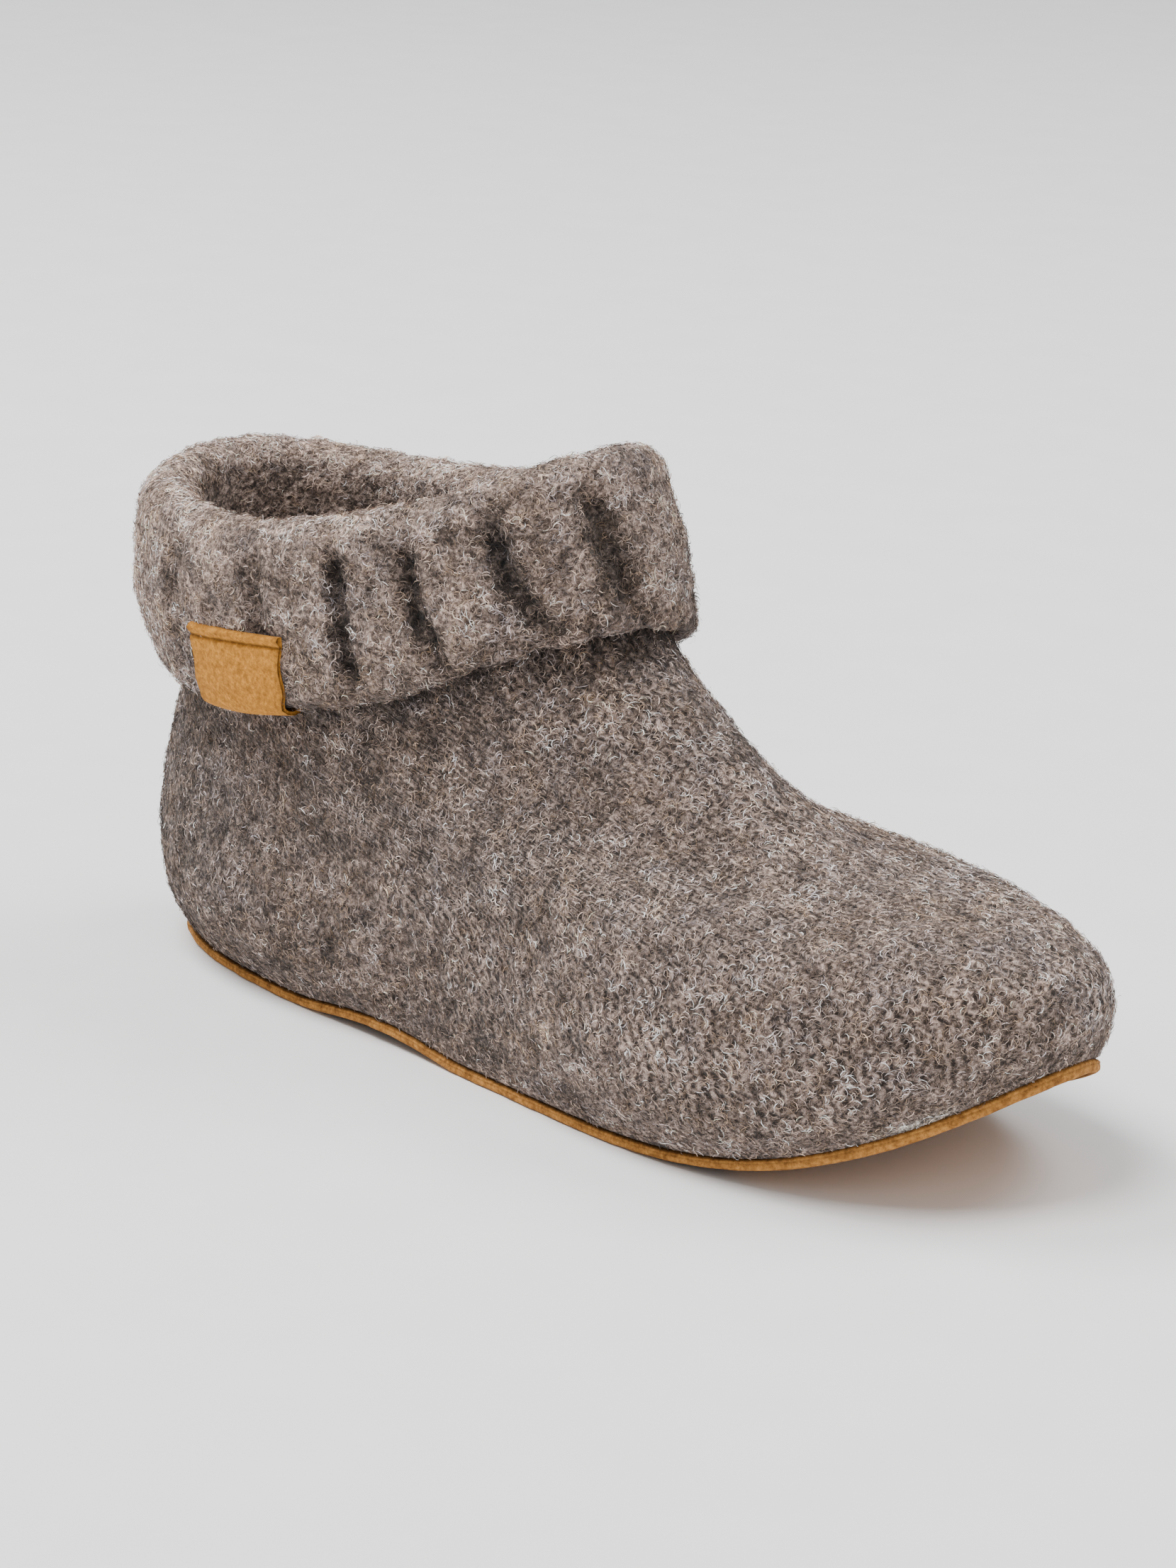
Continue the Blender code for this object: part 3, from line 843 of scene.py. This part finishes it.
def fibres(name, wool, rows, count, lay, seed, material):
    """count tapered ribbons scattered evenly over some rows of the grid."""
    rng = np.random.default_rng(seed)
    r0, r1 = rows
    points = wool.points
    columns = points.shape[1]
    a = points[r0:r1]
    b = np.roll(a, -1, 1)
    c = points[r0 + 1 : r1 + 1]
    area = np.linalg.norm(np.cross(b - a, c - a), axis=-1).ravel()
    area = area * wool.bare[r0:r1].ravel()
    pick = rng.choice(len(area), count, p=area / area.sum())
    i = pick // columns + r0
    j = pick % columns
    k = (j + 1) % columns
    u = rng.random((count, 1))
    w = rng.random((count, 1))

    def blend(field, last=k):
        low = field[i, j] * (1 - u) + field[i, last] * u
        high = field[i + 1, j] * (1 - u) + field[i + 1, last] * u
        return low * (1 - w) + high * w

    root = blend(points)
    normal = unit(blend(wool.normals))
    up = unit(blend(wool.ups))
    side = unit(np.cross(up, normal))
    tone = blend(wool.tones)
    knit = blend(wool.knit[..., None])[:, 0]
    along = blend(wool.along[..., None], j + 1)[:, 0]
    height = blend(wool.height[..., None])[:, 0]
    wave, lean = dash_wave(along, height)

    length = lay.length * rng.uniform(0.6, 1.3, count)
    width = lay.width * rng.uniform(0.7, 1.3, count)
    angle = rng.uniform(0, 2 * math.pi, count)
    laid = STROKE_LEAN + lean * 0.4 + rng.normal(0, lay.spread, count)
    angle = np.where(rng.random(count) < 0.25 + 0.65 * knit, laid, angle)
    curl = lay.curl * rng.choice([-1, 1], count) * rng.uniform(0.4, 1.2, count)
    rise = lay.loft * rng.uniform(-0.35, 1.0, count)
    start = lay.lift * rng.random(count) + STITCH_HEIGHT * knit * wave
    heading = angle
    path = [root + normal * start[:, None]]
    headings = []
    for step in range(3):
        flat = np.cos(heading)[:, None] * side + np.sin(heading)[:, None] * up
        headings.append(flat)
        climb = rise * (1.0, 0.3, -0.5)[step]
        move = unit(flat + normal * climb[:, None]) * (length / 3)[:, None]
        path.append(path[-1] + move)
        heading = heading + curl
    roll = rng.normal(0, 0.5, count)
    verts = np.empty((count, 6, 3))
    verts[:, 0] = path[0]
    verts[:, 5] = path[3]
    for step, (left, right) in enumerate(((1, 2), (3, 4))):
        flat = unit(headings[step] + headings[step + 1])
        across = np.cross(normal, flat)
        across = unit(across * np.cos(roll)[:, None] + normal * np.sin(roll)[:, None])
        verts[:, left] = path[step + 1] + across * width[:, None] / 2
        verts[:, right] = path[step + 1] - across * width[:, None] / 2
    faces = np.array([(0, 2, 1), (1, 2, 3), (2, 4, 3), (3, 4, 5)])
    faces = (np.arange(count)[:, None, None] * 6 + faces).reshape(-1, 3)

    tuft = 1.10 * strokes(along, height, 51) + 0.50 * soft_noise(root, 1.8, 52)
    tuft += 0.65 * knit * strokes(along / 2.1, height / 2.1, 56)
    clear = 0.75 + 0.6 * soft_noise(root, 6.0, 54)
    # The fibres lighter on the stitches' crests and darker between them: painted light and shade
    level = tuft * (1 - 0.25 * knit) + 0.42 * rng.normal(0, 1, count) + 1.35 * knit * wave * clear
    bright = FIBRE_BRIGHT * np.exp(lay.vary * level)
    warm = 0.8 * rng.normal(0, 1, count) + 1.3 * soft_noise(root, 2.6, 53)
    warm += 1.0 * soft_noise(root, 8.0, 55)
    tint = np.stack([1 + 0.05 * warm, np.ones(count), 1 - 0.09 * warm], axis=-1)
    # Painted highlight: the brightest fibres turned whiter and bluer, as fibres catching the light
    pale = np.clip((bright - 1.2) / 2.5, 0.0, 1.0)[:, None] * np.array([0.0, 0.07, 0.16])
    colour = np.clip(tone * bright[:, None] * (tint + pale), FIBRE_DARKEST, FIBRE_PALEST)
    shades = np.ones((count * 6, 4))
    shades[:, :3] = np.repeat(colour, 6, axis=0)
    return new_mesh(name, verts.reshape(-1, 3), faces, material, False, shades)


# Sole, footbed and tab
# outset, height and shade up the sole's edge: cut edge, dark line of its middle, seam
SOLE_EDGE = np.array(
    (
        (-0.8, 0.0, 0.75),
        (0.2, 0.05, 0.8),
        (0.7, 0.3, 0.9),
        (0.95, 0.7, 1.0),
        (0.95, 1.25, 1.0),
        (0.88, 1.55, 0.85),
        (0.8, 1.7, 0.66),
        (0.86, 1.85, 0.85),
        (0.80, 2.1, 0.95),
        (0.55, 2.3, 0.6),
        (-0.1, 2.4, 0.35),
        (-0.8, 2.4, 0.3),
    )
)


def slab(name, count, cells, levels, material, ripple=0.0, shades=None):
    """Closed plate on the sole line: levels are (outset, height), bottom to top.

    Ripple makes the cut edge uneven in mm, and the plate a little stouter at the toe.
    """
    half = count // 2
    theta = math.pi * np.arange(count) / half
    point, normal, _ = frame_at(theta, np.zeros(count))
    t = (1 + np.cos(theta)) / 2
    rings = []
    for out, lift in levels:
        stout = TOE_STOUT * np.clip((t - TOE_STOUT_FROM) / TOE_STOUT_OVER, 0.0, 1.0)
        stout = 1 + stout * (ripple > 0)
        ring = point + flat_normal(normal) * out * stout[:, None]
        ring[:, 2] = spring(t) + lift * stout
        if ripple:
            ring += flat_normal(normal) * (ripple * soft_noise(ring, 3.0, 31))[:, None]
        rings.append(ring)
    verts = [np.concatenate(rings)]
    total = len(verts[0])
    groups = [ring_quads(len(levels), count, False)]
    for level, flip in ((0, True), (len(levels) - 1, False)):
        ring = rings[level]
        left = np.arange(1, half)
        right = count - left
        share = np.arange(1, cells) / cells
        inner = ring[left][:, None] + (ring[right] - ring[left])[:, None] * share[:, None]
        start = total
        verts.append(inner.reshape(-1, 3))
        total += len(verts[-1])
        base = level * count
        table = np.empty((half - 1, cells + 1), int)
        table[:, 0] = base + left
        table[:, -1] = base + right
        table[:, 1:-1] = start + np.arange((half - 1) * (cells - 1)).reshape(half - 1, -1)
        a = table[:-1, :-1].ravel()
        b = table[:-1, 1:].ravel()
        c = table[1:, 1:].ravel()
        d = table[1:, :-1].ravel()
        quads = np.stack([a, b, c, d], axis=-1)
        toe = [(base, table[0, n], table[0, n + 1]) for n in range(cells)]
        heel = [(table[-1, n + 1], table[-1, n], base + half) for n in range(cells)]
        tris = np.array(toe + heel)
        if flip:
            quads = quads[:, ::-1]
            tris = tris[:, ::-1]
        groups += [quads, tris]
    verts = np.concatenate(verts)
    colours = np.ones((len(verts), 4))
    if shades is not None:
        colours[: len(levels) * count] = np.repeat(shades, count)[:, None]
    return new_mesh(name, verts, groups, material, True, colours)


def build_tab(material):
    """Strip of suede round the hem, with a ridge and a dent along its top edge, and painted shadow
    in the dent.
    """
    crest = [f for f in FOLD if f.s >= 6.0 and f.d >= 5.0][::-1]
    depth = [f.s for f in crest][:-1]
    reach = [f.d for f in crest][:-1]

    def face(s):
        return float(np.interp(s, depth, reach))

    line = [(face(s) + TAB_GAP, s) for s in np.linspace(TAB_TOP, 37.5, TAB_FACE_ROWS)]
    line += [(7.9, 39.4), (7.3, 40.8), (6.3, 41.7), (5.0, HEM + 0.6), (3.6, 41.7), (2.5, 40.9)]
    line += [(1.9, 39.6), (1.7, 38.2), (1.7, 36.5), (1.7, 35.0)]
    path = np.array(line)
    along = unit(np.gradient(path, axis=0))
    out = np.stack([along[:, 1], -along[:, 0]], axis=1)
    drop = path[:, 1] - TAB_TOP
    facing = np.arange(len(path)) < TAB_FACE_ROWS
    thick = 1.0 + facing * 0.9 * np.exp(-(((drop - TAB_RIDGE) / 0.9) ** 2))
    thick -= facing * 0.5 * np.exp(-(((drop - TAB_DENT) / 0.45) ** 2))
    loop = np.concatenate([path, (path + out * thick[:, None])[::-1]])
    across = np.linspace(0.0, 1.0, TAB_COLUMNS)
    slant = TAB_SLANT * np.clip((HEM - loop[:, 1]) / (HEM - TAB_TOP), 0.0, 1.0)
    grid = []
    for a in across:
        share = TAB_FROM + (TAB_TO - TAB_FROM) * a + 0.0012 * np.sin(loop[:, 1] / 2.1 + 3 * a)
        edge = np.clip(1 - min(a, 1 - a) / 0.03, 0.0, 1.0)
        lift = 2.6 * (1 - a) * np.clip((HEM - 3 - loop[:, 1]) / 12.0, 0.0, 1.0)
        depth = loop[:, 1] - lift
        grid.append(fold_point(cuff_turns(share + slant), loop[:, 0] - 0.15 * edge, depth))
    grid = np.array(grid)
    size = len(loop)
    i, j = np.meshgrid(np.arange(TAB_COLUMNS - 1), np.arange(size), indexing="ij")
    k = (j + 1) % size
    quads = np.stack([i * size + j, i * size + k, (i + 1) * size + k, (i + 1) * size + j], -1)
    ends = []
    for start, flip in ((0, False), ((TAB_COLUMNS - 1) * size, True)):
        for n in range(len(path) - 1):
            quad = (start + n, start + size - 1 - n, start + size - 2 - n, start + n + 1)
            ends.append(quad if flip else quad[::-1])
    reach = np.abs(np.concatenate([drop, drop[::-1]]))
    side = np.minimum(across, 1 - across) * TAB_WIDTH
    near = np.minimum(side[:, None], reach[None])
    shade = 1 - 0.30 * np.exp(-near / 0.7)
    # Painted shadow along the dent under the ridge, on the strip's outer face
    line = np.exp(-(((reach - TAB_DENT) / 0.4) ** 2)) * (np.arange(size) > len(path))
    shade = shade * (1 - 0.6 * line)[None]
    shades = np.repeat(shade.reshape(-1, 1), 4, axis=1)
    return new_mesh(
        "tab_strip",
        grid.reshape(-1, 3),
        [quads.reshape(-1, 4), np.array(ends)],
        material,
        True,
        shades,
    )


# Camera, light and floor
EYE_AZIMUTH = 42.12
EYE_ELEVATION = 17.5
EYE_ROLL = 1.33
EYE_DISTANCE = 959.0
EYE_TARGET = Vector((132.6, 0.0, 81.6))
AIM = Vector((72.0, 2.0, 62.0))
LENS = 103.0

# Lamps in metres and watts, turned to one spot of the slipper
Lamp = namedtuple("Lamp", "name place size power")
LAMPS = (
    Lamp("key", (-0.1, -0.85, 2.4), 1.2, 58.0),
    Lamp("left", (-1.3, -0.5, 2.0), 1.2, 43.0),
    Lamp("back", (0.6, 1.1, 2.0), 1.4, 24.0),
    Lamp("fill", (1.5, -0.6, 1.0), 1.2, 6.0),
)
LIT_SPOT = Vector((0.07, 0.0, 0.05))
SKY_LIGHT = 0.48
FLOOR_RADIUS = 9.0
FLOOR_SIDES = 64
FLOOR_TONE = (0.92, 0.92, 0.92)


def place_camera():
    """The photo's viewpoint, turned to look at the middle of the one slipper."""
    a = math.radians(EYE_AZIMUTH)
    e = math.radians(EYE_ELEVATION)
    back = Vector((math.sin(a) * math.cos(e), -math.cos(a) * math.cos(e), math.sin(e)))
    eye = EYE_TARGET + back * EYE_DISTANCE
    data = bpy.data.cameras.new("camera")
    data.sensor_width = 36.0
    data.lens = LENS
    data.clip_start = 0.05
    data.clip_end = 50.0
    camera = bpy.data.objects.new("camera", data)
    bpy.context.scene.collection.objects.link(camera)
    look = (AIM - eye).to_track_quat("-Z", "Y").to_matrix()
    roll = Matrix.Rotation(math.radians(EYE_ROLL), 3, "Z")
    camera.matrix_world = Matrix.Translation(eye * MM) @ (look @ roll).to_4x4()
    bpy.context.scene.camera = camera


def add_light(lamp):
    """A round soft lamp turned to the slipper."""
    data = bpy.data.lights.new(lamp.name, "AREA")
    data.shape = "DISK"
    data.size = lamp.size
    data.energy = lamp.power
    light = bpy.data.objects.new(lamp.name, data)
    light.location = lamp.place
    light.rotation_mode = "QUATERNION"
    light.rotation_quaternion = (LIT_SPOT - Vector(lamp.place)).to_track_quat("-Z", "Y")
    bpy.context.scene.collection.objects.link(light)


def build_set():
    """White surroundings, a round floor and the lamps."""
    world = bpy.data.worlds.new("studio")
    world.use_nodes = True
    background = world.node_tree.nodes["Background"]
    background.inputs["Color"].default_value = (1.0, 1.0, 1.0, 1.0)
    background.inputs["Strength"].default_value = SKY_LIGHT
    bpy.context.scene.world = world
    turn = np.linspace(0, 2 * math.pi, FLOOR_SIDES, endpoint=False)
    rim = FLOOR_RADIUS * np.stack([np.cos(turn), np.sin(turn), 0 * turn], axis=-1)
    mesh = bpy.data.meshes.new("floor")
    mesh.from_pydata(rim.tolist(), [], [list(range(FLOOR_SIDES))])
    mesh.materials.append(plain_material("floor", FLOOR_TONE, 0.9))
    floor = bpy.data.objects.new("floor", mesh)
    bpy.context.scene.collection.objects.link(floor)
    for lamp in LAMPS:
        add_light(lamp)


# Everything together
FOOT_FIBRES = 49500
CUFF_FIBRES = 49500
HALO_FIBRES = 17000
INSIDE_FIBRES = 22000
NAP = Lay(2.5, 0.17, 0.32, 0.30, 0.85, 0.45, 1.08)
LINING = Lay(2.5, 0.17, 0.32, 0.30, 0.85, 0.45, 0.75)
HALO = Lay(3.2, 0.10, 0.2, 0.9, 0.8, 1.5, 1.0)


def knit_corners(along, height):
    """Knit place of every face corner, running on past the seam at the heel."""
    rows, columns = height.shape
    i, j = np.meshgrid(np.arange(rows), np.arange(columns), indexing="ij")
    n = (i + 1) % rows
    m = (j + 1) % columns
    corners = (
        (along[i, j], height[i, j]),
        (along[i, j + 1], height[i, m]),
        (along[n, j + 1], height[n, m]),
        (along[n, j], height[n, j]),
    )
    return np.stack([np.stack(pair, -1) for pair in corners], axis=2).reshape(-1, 2)


def build_wool(wool, fold, felt, fibre):
    """The felt itself and the layers of fibres on it."""
    rows, columns = wool.points.shape[:2]
    # The felt's tones painted darker, as the shade under the fibres; alpha says how clearly the
    # stitches show
    shades = np.concatenate([wool.tones * FELT_BASE_SHADE, wool.knit[..., None]], axis=-1)
    upper = new_mesh(
        "felt_upper",
        wool.points.reshape(-1, 3),
        ring_quads(rows, columns, True),
        felt,
        True,
        shades.reshape(-1, 4),
        knit_corners(wool.along, wool.height),
    )
    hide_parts("upper")
    lo, hi = fold
    quick = 1.0
    layers = (
        ("wool_foot", (1, lo - 4), FOOT_FIBRES, NAP, 1),
        ("wool_foot_over", (1, lo - 4), FOOT_FIBRES, NAP, 2),
        ("wool_cuff", (lo + HEM_ROW, hi - 2), CUFF_FIBRES, NAP, 3),
        ("wool_halo", (2, hi + 6), HALO_FIBRES, HALO, 4),
        ("wool_inside", (hi - 4, rows - 12), INSIDE_FIBRES, LINING, 5),
    )
    for name, span, count, lay, seed in layers:
        piece = fibres(name, wool, span, int(count * quick), lay, seed, fibre)


def main():
    place_camera()
    build_set()
    felt = felt_material()
    fibre = fibre_material()
    suede = suede_material("suede")
    tab_suede = suede_material("tab_suede")
    footbed_felt = suede_material("footbed_felt")

    points, zones, depths, grooves, fold = upper_grid()
    points = roughen(points, zones, fold[0])
    normals, ups = grid_normals(points)
    tones = wool_tone(points, zones, depths, grooves, fold)
    along, height = knit_place(points)
    knit = stitch_share(points, fold[0])
    wool = Wool(points, normals, ups, tones, along, height, knit, open_wool(zones, depths, fold))
    build_wool(wool, fold, felt, fibre)

    edge, shades = SOLE_EDGE[:, :2], SOLE_EDGE[:, 2]
    sole = slab("suede_sole", SOLE_COUNT, 8, edge, suede, SOLE_RIPPLE, shades)
    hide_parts("outsole")
    inset = -(WALL + BED_SIDE_GAP)
    base = SOLE_THICK + BED_GAP
    levels = (
        (inset, base),
        (inset, base + 2.6),
        (inset - 0.4, base + 3.2),
        (inset - 1.0, base + 3.5),
    )
    bed = slab("footbed", BED_COUNT, 10, levels, footbed_felt)
    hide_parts("insole")
    tab = build_tab(tab_suede)
    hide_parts("side_tab")


main()
